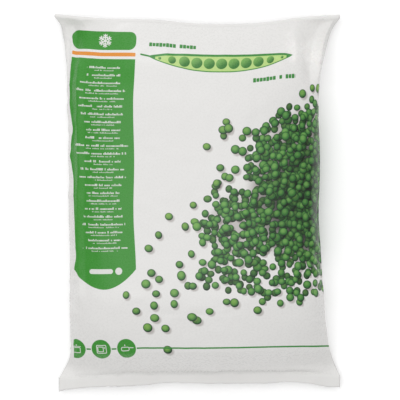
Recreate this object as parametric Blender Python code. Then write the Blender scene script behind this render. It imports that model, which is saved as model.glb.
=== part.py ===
"""Frozen vegetable bag: a pillow pack of plastic film, full of peas and lying on its back.

The film is a tube pressed flat, 280 mm from crease to crease, and sealed across both ends.
Its girth can't stretch, so where the peas make the bag thick its sides draw in, and the four
corners are left as flat ears. The front faces +Z, the top end is at +Y, and the origin is on
the floor under the middle of the bag. The bottom seal stands out flat, and the top seal is
folded down behind the top edge.
"""

import math

import bpy
import numpy as np

# The film and the filled bag, in metres
FILM_WIDTH = 0.280
BAG_LENGTH = 0.371
FILL_HEIGHT = 0.067
SEAL_DEPTH = 0.012
SEAL_THICKNESS = 0.0014
FOOT_SAG = 0.003  # the lower half lies this much lower than the thickest place
SAG_START, SAG_END = 0.60, 0.15  # shares of the length between which the front sinks by it

# The sides as they run from the bottom seal to the top one: share of the way, then where the
# left and the right side stand, in metres from the middle of the seals
SIDES = (
    (0.00, -0.1378, 0.1404),
    (0.03, -0.1340, 0.1375),
    (0.07, -0.1272, 0.1315),
    (0.12, -0.1256, 0.1270),
    (0.20, -0.1248, 0.1240),
    (0.32, -0.1240, 0.1215),
    (0.45, -0.1256, 0.1185),
    (0.60, -0.1250, 0.1196),
    (0.76, -0.1258, 0.1180),
    (0.84, -0.1262, 0.1200),
    (0.90, -0.1290, 0.1250),
    (0.95, -0.1326, 0.1302),
    (0.98, -0.1352, 0.1350),
    (1.00, -0.1404, 0.1396),
)

# The edges of the ends: share of the way from the left corner to the right one, then how far
# the film is drawn in from the corners' line, in metres
BOTTOM_EDGE = (
    (0.00, 0.0),
    (0.10, 0.0038),
    (0.28, 0.0052),
    (0.40, 0.0090),
    (0.70, 0.0086),
    (0.94, 0.0048),
    (1.00, 0.0),
)
TOP_EDGE = (
    (0.00, 0.0),
    (0.10, 0.0030),
    (0.38, 0.0068),
    (0.52, 0.0100),
    (0.76, 0.0080),
    (0.85, 0.0040),
    (1.00, 0.0006),
)

# How the film leaves the seals. A reach is where the filled height is gained.
BOTTOM_REACH, BOTTOM_ROUNDING = 0.082, 2.7
TOP_REACH, TOP_ROUNDING = 0.095, 2.4
BOTTOM_SEAL_HEIGHT, TOP_SEAL_HEIGHT = 0.014, 0.021
CORNER_DROOP, DROOP_REACH = 0.005, 0.050
LIFT_REACH = 0.036
SIDE_SHARE = 0.43  # of the height, where the sides are widest

# Section shapes: height over the side line goes as (1 - |x / half width| ** power) ** fullness
FRONT_POWER, FRONT_FULLNESS = 2.5, 0.56
BACK_POWER, BACK_FULLNESS = 6.0, 0.46
EAR_FULLNESS = 1.45
FULL_BY = 0.26  # share of the length by which a section has its full shape
FLOOR_PRESS = 0.0016  # how far the back would bulge past the floor

# The folded top seal
FOLD_RADIUS = 0.0028
FOLD_ANGLE = math.radians(104)

# Folds in the front: start and end as shares of its width and of the body's length from the
# bottom seal, then the fold's half width and its height in metres
FOLDS = (
    ((0.86, 0.99), (0.985, 0.76), 0.010, 0.0034),
    ((0.06, 0.97), (0.14, 0.84), 0.011, -0.0018),
    ((0.97, 0.30), (0.84, 0.38), 0.009, -0.0026),
    ((0.99, 0.22), (0.88, 0.27), 0.008, -0.0018),
    ((0.03, 0.64), (0.05, 0.28), 0.009, 0.0018),
    ((0.83, 0.02), (0.86, 0.10), 0.008, -0.0014),
    ((0.28, 0.02), (0.24, 0.09), 0.008, -0.0012),
)
FOLD_FADE = 12.0  # folds reach full height 1 / 12 of the length from a seal
FOLD_ENDS = 0.08  # share of a fold at each end over which its height stays low

# Mesh fineness
SIDE_STEPS = 40  # from crease to crease, on the front and again on the back
LENGTH_STEPS = 54
EVEN_STEPS = 0.45  # share of the steps along the bag that is even, the rest crowds to the seals
SEAL_STEPS = 3
FOLD_STEPS = 4
OUTLINE_POINTS = 241

FILM_WHITE = (0.80, 0.80, 0.78, 1.0)
BODY_LENGTH = BAG_LENGTH - SEAL_DEPTH - FOLD_RADIUS


def smooth_step(low, high, value):
    """0 below low, 1 above high and a smooth rise between them."""
    share = np.clip((value - low) / (high - low), 0.0, 1.0)
    return share * share * (3.0 - 2.0 * share)


def through(places, column, at):
    """A smooth curve through the places' first value and the value in a column, read at."""
    steps = np.array([place[0] for place in places])
    values = np.array([place[column] for place in places])
    slopes = np.gradient(values, steps)
    at = np.atleast_1d(at)
    k = np.clip(np.searchsorted(steps, at, side="right") - 1, 0, len(steps) - 2)
    span = steps[k + 1] - steps[k]
    t = (at - steps[k]) / span
    return (
        values[k] * (1 + 2 * t) * (1 - t) ** 2
        + slopes[k] * span * t * (1 - t) ** 2
        + values[k + 1] * t * t * (3 - 2 * t)
        + slopes[k + 1] * span * t * t * (t - 1)
    )


def gained(distance, reach, rounding):
    """Share of the filled height that the film has gained at a distance from its seal."""
    return 1.0 - (1.0 - min(distance / reach, 1.0)) ** rounding


def station_shares():
    """Shares of the body's length where sections stand, closer together near the seals."""
    even = np.linspace(0.0, 1.0, LENGTH_STEPS + 1)
    crowded = 0.5 - 0.5 * np.cos(math.pi * even)
    return EVEN_STEPS * even + (1.0 - EVEN_STEPS) * crowded


def half_outline(height, power, fullness):
    """Places across, -1 to 1, and heights over the side line of one half of a section."""
    across = np.sin(np.linspace(-math.pi / 2, math.pi / 2, OUTLINE_POINTS))
    rise = (1.0 - np.abs(across) ** power) ** fullness
    return across, height * rise


def spaced(across, z, half_width):
    """The outline's places across and heights at SIDE_STEPS + 1 points, evenly along it."""
    steps = np.hypot(np.diff(across) * half_width, np.diff(z))
    along = np.concatenate([[0.0], np.cumsum(steps)])
    even = np.linspace(0.0, along[-1], SIDE_STEPS + 1)
    return np.interp(even, along, across), np.interp(even, along, z)


def section(share, half_width):
    """Places across and heights of the front and of the back at a share of the length."""
    from_bottom = share * BODY_LENGTH
    from_top = BODY_LENGTH - from_bottom
    filled = gained(from_bottom, BOTTOM_REACH, BOTTOM_ROUNDING) * gained(from_top, TOP_REACH, TOP_ROUNDING)
    filled_height = FILL_HEIGHT - FOOT_SAG * smooth_step(SAG_START, SAG_END, share)
    half_seal = 0.5 * SEAL_THICKNESS

    seal_height = BOTTOM_SEAL_HEIGHT if share < 0.5 else TOP_SEAL_HEIGHT
    to_seal = min(from_bottom, from_top)
    back = (seal_height - half_seal) * max(0.0, 1.0 - to_seal / LIFT_REACH) ** 2
    front = seal_height + half_seal + (filled_height - seal_height - half_seal) * filled
    side = back + half_seal + (SIDE_SHARE * (front - back) - half_seal) * filled

    full = math.sqrt(smooth_step(0.0, FULL_BY, min(share, 1.0 - share)))
    front_fullness = EAR_FULLNESS + (FRONT_FULLNESS - EAR_FULLNESS) * full
    back_fullness = EAR_FULLNESS + (BACK_FULLNESS - EAR_FULLNESS) * full
    front_across, rise = half_outline(front - side, FRONT_POWER, front_fullness)
    back_across, drop = half_outline(side - back + FLOOR_PRESS * full, BACK_POWER, back_fullness)

    droop = CORNER_DROOP * smooth_step(DROOP_REACH, 0.0, to_seal)
    halves = []
    for across, z in ((front_across, side + rise), (back_across, np.maximum(side - drop, 0.0))):
        across, z = spaced(across, z, half_width)
        halves.append((across, np.where(z > 0.0, np.maximum(z - droop * across**2, 0.0), 0.0)))
    return halves


def along_bag(share, across):
    """Y of points: on the bottom edge, on the top edge, or a blend of the two between them."""
    place = 0.5 + 0.5 * across
    bottom = -BAG_LENGTH / 2 + SEAL_DEPTH + through(BOTTOM_EDGE, 1, place)
    top = BAG_LENGTH / 2 - FOLD_RADIUS - through(TOP_EDGE, 1, place)
    return bottom + (top - bottom) * share


def fold_height(front_share, share):
    """Height in metres that the folds add to the front film at shares of its width and length."""
    total = np.zeros_like(front_share)
    for (u0, v0), (u1, v1), half_width, height in FOLDS:
        start = np.array([u0 * FILM_WIDTH, v0 * BODY_LENGTH])
        run = np.array([u1 * FILM_WIDTH, v1 * BODY_LENGTH]) - start
        u = front_share * FILM_WIDTH - start[0]
        v = share * BODY_LENGTH - start[1]
        part = np.clip((u * run[0] + v * run[1]) / (run @ run), 0.0, 1.0)
        away = np.hypot(u - part * run[0], v - part * run[1]) / half_width
        total += height * np.exp(-(away**2)) * np.sin(math.pi * np.clip(part, FOLD_ENDS, 1.0 - FOLD_ENDS))
    return total


def body_ring(share):
    """The section's points in space, once round: the front left to right, then the back."""
    left, right = through(SIDES, 1, share)[0], through(SIDES, 2, share)[0]
    half_width, middle = 0.5 * (right - left), 0.5 * (right + left)
    front_share = np.linspace(0.0, 1.0, SIDE_STEPS + 1)
    edge = np.sin(math.pi * front_share) ** 0.5 * min(1.0, FOLD_FADE * min(share, 1.0 - share))
    (front_across, front_z), (back_across, back_z) = section(share, half_width)
    front_z = front_z + fold_height(front_share, share) * edge
    halves = []
    for across, z in ((front_across, front_z), (back_across, back_z)):
        halves.append(np.column_stack([middle + half_width * across, along_bag(share, across), z]))
    return np.vstack([halves[0], halves[1][-2:0:-1]])


def fin_rings(root, steps):
    """Rings that carry a seal on from its root ring, one for each (outward, up, tilt) step."""
    back_order = [0, *range(len(root) - 1, SIDE_STEPS - 1, -1)]
    middle = 0.5 * (root[: SIDE_STEPS + 1] + root[back_order])
    outward_sign = math.copysign(1.0, root[0, 1])
    thick = np.ones((SIDE_STEPS + 1, 1))
    thick[[0, -1]] = 0.0
    rings = []
    for outward, up, tilt in steps:
        normal = np.array([0.0, outward_sign * math.sin(tilt), math.cos(tilt)])
        half = 0.5 * SEAL_THICKNESS * thick * normal
        step = middle + np.array([0.0, outward_sign * outward, up])
        rings.append(np.vstack([step + half, (step - half)[-2:0:-1]]))
    return rings


def bottom_seal_steps():
    """The bottom seal runs straight out, on the level of its root."""
    return [(SEAL_DEPTH * k / SEAL_STEPS, 0.0, 0.0) for k in range(1, SEAL_STEPS + 1)]


def top_seal_steps():
    """The top seal turns down over the fold and then runs straight, a little under the bag."""
    turn = [FOLD_ANGLE * k / FOLD_STEPS for k in range(1, FOLD_STEPS + 1)]
    steps = [(FOLD_RADIUS * math.sin(a), FOLD_RADIUS * (math.cos(a) - 1.0), a) for a in turn]
    straight = SEAL_DEPTH - FOLD_RADIUS * FOLD_ANGLE
    out, up, _ = steps[-1]
    for k in range(1, SEAL_STEPS):
        run = straight * k / (SEAL_STEPS - 1)
        steps.append((out + run * math.cos(FOLD_ANGLE), up - run * math.sin(FOLD_ANGLE), FOLD_ANGLE))
    return steps


def ring_faces(ring_count, ring_size):
    """Quads between neighbouring rings, and strips that close the two end rings."""
    faces = []
    for r in range(ring_count - 1):
        for k in range(ring_size):
            after = (k + 1) % ring_size
            here, there = r * ring_size, (r + 1) * ring_size
            faces.append((here + k, here + after, there + after, there + k))
    for ring, turned in ((0, True), (ring_count - 1, False)):
        base = ring * ring_size
        for k in range(SIDE_STEPS):
            corners = [k, k + 1]
            if k < SIDE_STEPS - 1:
                corners.append(ring_size - k - 1)
            if k > 0:
                corners.append(ring_size - k)
            corners = [base + corner for corner in corners]
            faces.append(tuple(reversed(corners)) if turned else tuple(corners))
    return faces


def film_material():
    """White polyethylene film with a soft gloss."""
    material = bpy.data.materials.new("white_film")
    material.use_nodes = True
    shader = material.node_tree.nodes["Principled BSDF"]
    shader.inputs["Base Color"].default_value = FILM_WHITE
    shader.inputs["Roughness"].default_value = 0.38
    shader.inputs["Metallic"].default_value = 0.0
    return material


def build_bag():
    """Makes the sealed bag as one closed solid."""
    body = [body_ring(share) for share in station_shares()]
    rings = fin_rings(body[0], bottom_seal_steps())[::-1] + body + fin_rings(body[-1], top_seal_steps())
    points = np.vstack(rings)
    middle = 0.5 * (points.min(axis=0) + points.max(axis=0))
    points[:, :2] -= middle[:2]

    mesh = bpy.data.meshes.new("bag")
    mesh.from_pydata(points.tolist(), [], ring_faces(len(rings), len(body[0])))
    mesh.materials.append(film_material())
    mesh.shade_smooth()
    mesh.set_sharp_from_angle(angle=math.radians(50))
    bag = bpy.data.objects.new("bag", mesh)
    bpy.context.scene.collection.objects.link(bag)


def main():
    for old in list(bpy.data.objects):
        bpy.data.objects.remove(old)
    build_bag()


main()
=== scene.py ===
"""Looks of the frozen vegetable bag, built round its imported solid.

One closed skin of film stands for the solid. Its form is worked out by the solid's rules at a
finer step, with thinner seals and a sharper bend over the foot. On top of it come the folds,
puckers and crimps that thin film shows.

Its print is made of fields of colour and simple shapes in a node group, laid out in metres on
the flat film: u runs round the tube from the left crease, and v runs up from the bottom cut.
"""

import logging
import math
from collections.abc import Callable, Iterable
from dataclasses import dataclass, fields
from enum import Enum

import bpy
import numpy as np
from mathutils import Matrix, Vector


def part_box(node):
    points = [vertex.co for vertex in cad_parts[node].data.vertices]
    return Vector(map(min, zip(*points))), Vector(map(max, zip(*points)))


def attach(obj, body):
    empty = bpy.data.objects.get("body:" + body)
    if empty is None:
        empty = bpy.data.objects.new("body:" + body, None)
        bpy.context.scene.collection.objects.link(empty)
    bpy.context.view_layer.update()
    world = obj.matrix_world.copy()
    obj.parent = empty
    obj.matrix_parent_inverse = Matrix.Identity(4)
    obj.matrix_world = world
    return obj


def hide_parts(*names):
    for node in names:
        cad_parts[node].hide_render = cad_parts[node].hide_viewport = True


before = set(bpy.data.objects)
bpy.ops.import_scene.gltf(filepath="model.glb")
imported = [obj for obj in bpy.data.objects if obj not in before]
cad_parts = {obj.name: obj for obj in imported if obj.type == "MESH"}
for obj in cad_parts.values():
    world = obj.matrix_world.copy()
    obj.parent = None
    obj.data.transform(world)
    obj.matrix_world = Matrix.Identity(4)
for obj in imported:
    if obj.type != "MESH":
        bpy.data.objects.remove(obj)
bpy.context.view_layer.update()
LOG = logging.getLogger("frozen_bag")
Colour = tuple[float, float, float]
Point = tuple[float, float, float]
Places = tuple[np.ndarray, np.ndarray]


def smooth_step(low: float, high: float, value: np.ndarray) -> np.ndarray:
    """0 below low, 1 above high and a smooth rise between them.

    Args:
        low: Where the rise starts.
        high: Where it ends.
        value: The places to read.

    Returns:
        The shares at those places.
    """
    share = np.clip((np.asarray(value) - low) / (high - low), 0.0, 1.0)
    return share * share * (3.0 - 2.0 * share)


def linear(red: int, green: int, blue: int) -> Colour:
    """A colour as a screen shows it, 0 to 255, as the shader's linear one.

    Args:
        red: Red, 0 to 255.
        green: Green, 0 to 255.
        blue: Blue, 0 to 255.

    Returns:
        The linear colour.
    """
    shares = (red / 255, green / 255, blue / 255)
    return tuple(s / 12.92 if s < 0.04045 else ((s + 0.055) / 1.055) ** 2.4 for s in shares)


def crowded(count: int, even: float) -> np.ndarray:
    """Shares from 0 to 1, closer together near both ends.

    Args:
        count: How many steps there are.
        even: Share of the spacing that is even.

    Returns:
        One more share than there are steps.
    """
    places = np.linspace(0.0, 1.0, count + 1)
    return even * places + (1.0 - even) * (0.5 - 0.5 * np.cos(math.pi * places))


@dataclass(frozen=True)
class Curve:
    """A smooth curve through points, read by place."""

    points: tuple[tuple[float, float], ...]

    def at(self, places: np.ndarray) -> np.ndarray:
        """The curve's values.

        Args:
            places: Where to read it.

        Returns:
            One value for each place.
        """
        steps, values = (np.array(column) for column in zip(*self.points))
        slopes = np.gradient(values, steps)
        places = np.atleast_1d(places)
        k = np.clip(np.searchsorted(steps, places, side="right") - 1, 0, len(steps) - 2)
        span = steps[k + 1] - steps[k]
        t = (places - steps[k]) / span
        return (
            values[k] * (1 + 2 * t) * (1 - t) ** 2
            + slopes[k] * span * t * (1 - t) ** 2
            + values[k + 1] * t * t * (3 - 2 * t)
            + slopes[k + 1] * span * t * t * (t - 1)
        )


class Noise:
    """Smooth random relief on the film, the same on every run."""

    LATTICE = (97, 89)

    def __init__(self, seed: int) -> None:
        """Draws the random lattice.

        Args:
            seed: Which draw to use.
        """
        self.lattice = np.random.default_rng(seed).uniform(-1.0, 1.0, self.LATTICE)

    def at(self, x: np.ndarray, y: np.ndarray) -> np.ndarray:
        """Noise from -1 to 1 that changes over about one unit.

        Args:
            x: First coordinate, in lattice steps.
            y: Second coordinate, in lattice steps.

        Returns:
            The noise, of the coordinates' shape.
        """
        column, row = np.floor(x).astype(int), np.floor(y).astype(int)
        fx, fy = x - column, y - row
        fx, fy = fx * fx * (3 - 2 * fx), fy * fy * (3 - 2 * fy)
        wide, high = self.lattice.shape
        corner = [
            [self.lattice[(column + i) % wide, (row + j) % high] for j in (0, 1)] for i in (0, 1)
        ]
        low = corner[0][0] * (1 - fx) + corner[1][0] * fx
        top = corner[0][1] * (1 - fx) + corner[1][1] * fx
        return low * (1 - fy) + top * fy

    def ridges(self, x: np.ndarray, y: np.ndarray) -> np.ndarray:
        """Sharp crests, 0 to 1, between round hollows: how crumpled film catches light."""
        return (1.0 - np.abs(self.at(x, y))) ** 3


class FoldShape(Enum):
    """How a fold's height falls away from its line."""

    TENT = "flat faces that meet in a crest"
    ROUND = "a soft swell"


@dataclass(frozen=True)
class Fold:
    """A fold along a line on the film, in metres."""

    line: tuple[tuple[float, float], ...]
    half_width: float
    height: float
    shape: FoldShape = FoldShape.TENT
    fade: float = 0.25
    crest_power: float = 1.3

    def lift(self, u: np.ndarray, v: np.ndarray) -> np.ndarray:
        """How far the fold lifts the film.

        Args:
            u: Places round the tube.
            v: Places along the tube.

        Returns:
            The lift in metres, less than zero in a valley.
        """
        points = np.array(self.line)
        runs = np.diff(points, axis=0)
        lengths = np.hypot(runs[:, 0], runs[:, 1])
        before = np.concatenate([[0.0], np.cumsum(lengths)])
        nearest = np.full(u.shape, np.inf)
        along = np.zeros(u.shape)
        for start, run, length, passed in zip(points, runs, lengths, before):
            du, dv = u - start[0], v - start[1]
            part = np.clip((du * run[0] + dv * run[1]) / length**2, 0.0, 1.0)
            away = np.hypot(du - part * run[0], dv - part * run[1])
            closer = away < nearest
            nearest = np.where(closer, away, nearest)
            along = np.where(closer, (passed + part * length) / before[-1], along)
        ends = smooth_step(0.0, self.fade, along) * smooth_step(0.0, self.fade, 1.0 - along)
        reach = nearest / self.half_width
        if self.shape is FoldShape.TENT:
            rise = np.clip(1.0 - reach, 0.0, 1.0) ** self.crest_power
        else:
            rise = np.exp(-(reach**2))
        return self.height * rise * ends


@dataclass(frozen=True)
class FilmForm:
    """The form of the filled bag, by the solid's rules, in metres."""

    low: Vector
    high: Vector
    film_width: float = 0.280
    film_length: float = 0.385
    seal_depth: float = 0.012
    seal_thickness: float = 0.0008
    foot_sag: float = 0.003
    sag_start: float = 0.60
    sag_end: float = 0.15
    sides: tuple[tuple[float, float, float], ...] = (
        (0.00, -0.1366, 0.1402),
        (0.02, -0.1328, 0.1370),
        (0.055, -0.1266, 0.1318),
        (0.09, -0.1248, 0.1286),
        (0.13, -0.1246, 0.1264),
        (0.20, -0.1248, 0.1240),
        (0.32, -0.1240, 0.1215),
        (0.45, -0.1256, 0.1185),
        (0.60, -0.1250, 0.1196),
        (0.76, -0.1258, 0.1180),
        (0.84, -0.1262, 0.1200),
        (0.90, -0.1290, 0.1250),
        (0.95, -0.1326, 0.1302),
        (0.98, -0.1352, 0.1350),
        (1.00, -0.1404, 0.1396),
    )
    bottom_edge: Curve = Curve(
        ((0.0, 0.0), (0.05, 0.0024), (0.10, 0.0040), (0.28, 0.0056), (0.40, 0.0092),
         (0.52, 0.0082), (0.70, 0.0080), (0.90, 0.0074), (0.94, 0.0050), (1.0, 0.0040))
    )
    bottom_root: Curve = Curve(
        ((0.0, 0.0130), (0.12, 0.0137), (0.24, 0.0159), (0.40, 0.0166), (0.90, 0.0166),
         (1.0, 0.0156))
    )
    top_edge: Curve = Curve(
        ((0.0, 0.0), (0.10, 0.0030), (0.38, 0.0068), (0.52, 0.0100), (0.76, 0.0080),
         (0.85, 0.0040), (1.0, 0.0006))
    )
    bottom_reach: float = 0.082
    bend_place: float = 0.0245
    bend_share: float = 0.74
    bend_rounding: float = 0.035
    bend_power: float = 1.35
    top_reach: float = 0.095
    top_rounding: float = 2.4
    bottom_seal_height: float = 0.014
    top_seal_height: float = 0.021
    corner_droop: float = 0.005
    droop_reach: float = 0.050
    lift_reach: float = 0.036
    side_share: float = 0.43
    front_power: float = 2.5
    front_fullness: float = 0.56
    back_power: float = 6.0
    back_fullness: float = 0.46
    ear_fullness: float = 1.45
    full_by: tuple[float, float] = (0.17, 0.23)
    floor_press: float = 0.0016
    fold_radius: float = 0.0028
    fold_angle: float = math.radians(104)
    bottom_seal_tilt: float = math.radians(5)
    side_steps: int = 186
    length_steps: int = 226
    even_across: float = 0.5
    even_along: float = 0.4
    outline_points: int = 481

    @property
    def bag_length(self) -> float:
        """Length from end to end, as the frame has it."""
        return self.high.y - self.low.y

    @property
    def fill_height(self) -> float:
        """Height of the filled bag, as the frame has it."""
        return self.high.z - self.low.z

    @property
    def body_length(self) -> float:
        """Length between the seals."""
        return self.bag_length - self.seal_depth - self.fold_radius

    def shares(self) -> np.ndarray:
        """Shares of the body's length where rings stand, closer together near the seals."""
        return crowded(self.length_steps, self.even_along)

    def columns(self) -> np.ndarray:
        """Shares of the film's width where columns of points stand, closer near the sides."""
        return crowded(self.side_steps, self.even_across)

    def half_outline(self, height: float, power: float, fullness: float) -> Places:
        """One half of a section, over the line of its sides.

        Args:
            height: How far its middle stands off that line.
            power: How square its shoulders are.
            fullness: How steeply it leaves the sides.

        Returns:
            Places across, -1 to 1, and heights.
        """
        across = np.sin(np.linspace(-math.pi / 2, math.pi / 2, self.outline_points))
        return across, height * (1.0 - np.abs(across) ** power) ** fullness

    def spaced(self, across: np.ndarray, z: np.ndarray, half_width: float) -> Places:
        """An outline at the columns' shares of its length.

        Args:
            across: Places across, -1 to 1.
            z: Heights there.
            half_width: What one unit across measures.

        Returns:
            Places across and heights at side_steps + 1 points.
        """
        steps = np.hypot(np.diff(across) * half_width, np.diff(z))
        along = np.concatenate([[0.0], np.cumsum(steps)])
        places = along[-1] * self.columns()
        return np.interp(places, along, across), np.interp(places, along, z)

    def bottom_fill(self, from_seal: float) -> float:
        """How full the bag is over its foot: a steep face up to the bend, then a slow rise.

        Args:
            from_seal: Distance from the bottom seal's root.

        Returns:
            The share of its full height.
        """
        left = max(self.bottom_reach - from_seal, 0.0) / (self.bottom_reach - self.bend_place)
        steep = self.bend_share * from_seal / self.bend_place
        slow = 1.0 - (1.0 - self.bend_share) * left**self.bend_power
        return max(0.5 * (steep + slow - math.hypot(steep - slow, self.bend_rounding)), 0.0)

    def section(self, share: float, half_width: float) -> list[Places]:
        """The front and the back at a share of the body's length.

        Args:
            share: The share, from the bottom seal.
            half_width: Half of the section's width.

        Returns:
            For each, places across and heights.
        """
        from_bottom = share * self.body_length
        from_top = self.body_length - from_bottom
        filled = min(self.bottom_fill(from_bottom), 1.0) * (
            1.0 - (1.0 - min(from_top / self.top_reach, 1.0)) ** self.top_rounding
        )
        sag = self.foot_sag * smooth_step(self.sag_start, self.sag_end, share)
        filled_height = self.fill_height - sag
        half_seal = 0.5 * self.seal_thickness
        seal_height = self.bottom_seal_height if share < 0.5 else self.top_seal_height
        to_seal = min(from_bottom, from_top)
        back = (seal_height - half_seal) * max(0.0, 1.0 - to_seal / self.lift_reach) ** 2
        front = seal_height + half_seal + (filled_height - seal_height - half_seal) * filled
        side = back + half_seal + (self.side_share * (front - back) - half_seal) * filled
        full_below = smooth_step(0.0, self.full_by[0], share)
        full_above = smooth_step(0.0, self.full_by[1], 1.0 - share)
        full = math.sqrt(full_below * full_above)
        front_fullness = self.ear_fullness + (self.front_fullness - self.ear_fullness) * full
        back_fullness = self.ear_fullness + (self.back_fullness - self.ear_fullness) * full
        press = self.floor_press * full
        front_across, rise = self.half_outline(front - side, self.front_power, front_fullness)
        back_across, drop = self.half_outline(side - back + press, self.back_power, back_fullness)
        droop = self.corner_droop * smooth_step(self.droop_reach, 0.0, to_seal)
        halves = []
        for across, z in ((front_across, side + rise), (back_across, np.maximum(side - drop, 0.0))):
            across, z = self.spaced(across, z, half_width)
            halves.append((across, np.where(z > 0.0, np.maximum(z - droop * across**2, 0.0), 0.0)))
        return halves

    def along_bag(self, share: float, across: np.ndarray) -> np.ndarray:
        """Y of points: on the bottom edge, on the top edge, or a blend of the two.

        Args:
            share: Share of the body's length.
            across: Places across, -1 to 1.

        Returns:
            Y from the middle of the bag's length.
        """
        place = 0.5 + 0.5 * across
        bottom = -self.bag_length / 2 + self.bottom_root.at(place)
        top = self.bag_length / 2 - self.fold_radius - self.top_edge.at(place)
        return bottom + (top - bottom) * share

    def rings(self) -> np.ndarray:
        """The body's points, one ring for each share: the front left to right, then the back."""
        shares = self.shares()
        left = Curve(tuple((share, left) for share, left, _ in self.sides)).at(shares)
        right = Curve(tuple((share, right) for share, _, right in self.sides)).at(shares)
        rings = []
        for share, low_x, high_x in zip(shares, left, right):
            half_width, middle = 0.5 * (high_x - low_x), 0.5 * (high_x + low_x)
            halves = []
            for across, z in self.section(share, half_width):
                y = self.along_bag(share, across)
                halves.append(np.column_stack([middle + half_width * across, y, z]))
            rings.append(np.vstack([halves[0], halves[1][-2:0:-1]]))
        return np.array(rings)

    def ring_u(self) -> np.ndarray:
        """Where a ring's points lie round the flat film."""
        front = self.film_width * self.columns()
        return np.concatenate([front, 2 * self.film_width - front[-2:0:-1]])

    def ring_v(self) -> np.ndarray:
        """Where the rings lie along the flat film, for each share of the body."""
        return self.seal_depth + (self.film_length - 2 * self.seal_depth) * self.shares()


@dataclass(frozen=True)
class Tuck:
    """Film gathered into the left crease, which takes the edge of the print with it.

    Up to lap_top along the tube, the front's first lap_place shows film from lap_depth further
    round, which cuts the print off there.
    """

    reach: float = 0.045
    whole: float = 0.006
    lap_place: float = 0.0055
    lap_top: float = 0.062
    lap_depth: float = 0.012
    depth: Curve = Curve(
        ((0.0, 0.0), (0.020, 0.0045), (0.045, 0.0045), (0.080, 0.0030), (0.114, 0.0028),
         (0.127, 0.0000), (0.165, -0.0018), (0.185, -0.0004), (0.206, 0.0014), (0.224, 0.0052),
         (0.241, 0.0074), (0.252, 0.0052), (0.262, 0.0018), (0.274, 0.0048), (0.300, 0.0078),
         (0.318, 0.0080), (0.330, 0.0062), (0.360, 0.0040), (0.385, 0.0020))
    )

    def shift(self, u: np.ndarray, v: np.ndarray) -> np.ndarray:
        """How much film is hidden between the left crease and a place on the front.

        Args:
            u: Places across the front.
            v: Places along it.

        Returns:
            The hidden length in metres.
        """
        lapped = self.lap_depth * (u < self.lap_place) * (v < self.lap_top)
        return self.depth.at(v) * smooth_step(self.reach, self.whole, u) - lapped


@dataclass(frozen=True)
class Fin:
    """The edge of the right ear, where the two layers of film lie pressed together and stand up."""

    start: float = 0.2630
    crest: float = 0.2752
    edge: float = 0.2800
    end: float = 0.2960
    edge_share: float = 0.58
    inner_power: float = 1.15
    height: Curve = Curve(
        ((0.0, 0.0), (0.276, 0.0), (0.290, 0.0020), (0.305, 0.0058), (0.320, 0.0092),
         (0.335, 0.0110), (0.350, 0.0104), (0.364, 0.0062), (0.373, 0.0018), (0.385, 0.0))
    )

    def rise(self, u: np.ndarray, v: np.ndarray) -> np.ndarray:
        """How far the film stands up beside the right crease.

        Args:
            u: Places round the tube.
            v: Places along the tube.

        Returns:
            The rise in metres.
        """
        inner = np.clip((u - self.start) / (self.crest - self.start), 0.0, 1.0) ** self.inner_power
        strip = 1.0 - (1.0 - self.edge_share) * smooth_step(self.crest, self.edge, u)
        outer = self.edge_share * smooth_step(self.end, self.edge, u)
        share = np.where(u <= self.crest, inner, np.where(u <= self.edge, strip, outer))
        return share * self.height.at(v.ravel()).reshape(v.shape)


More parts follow.
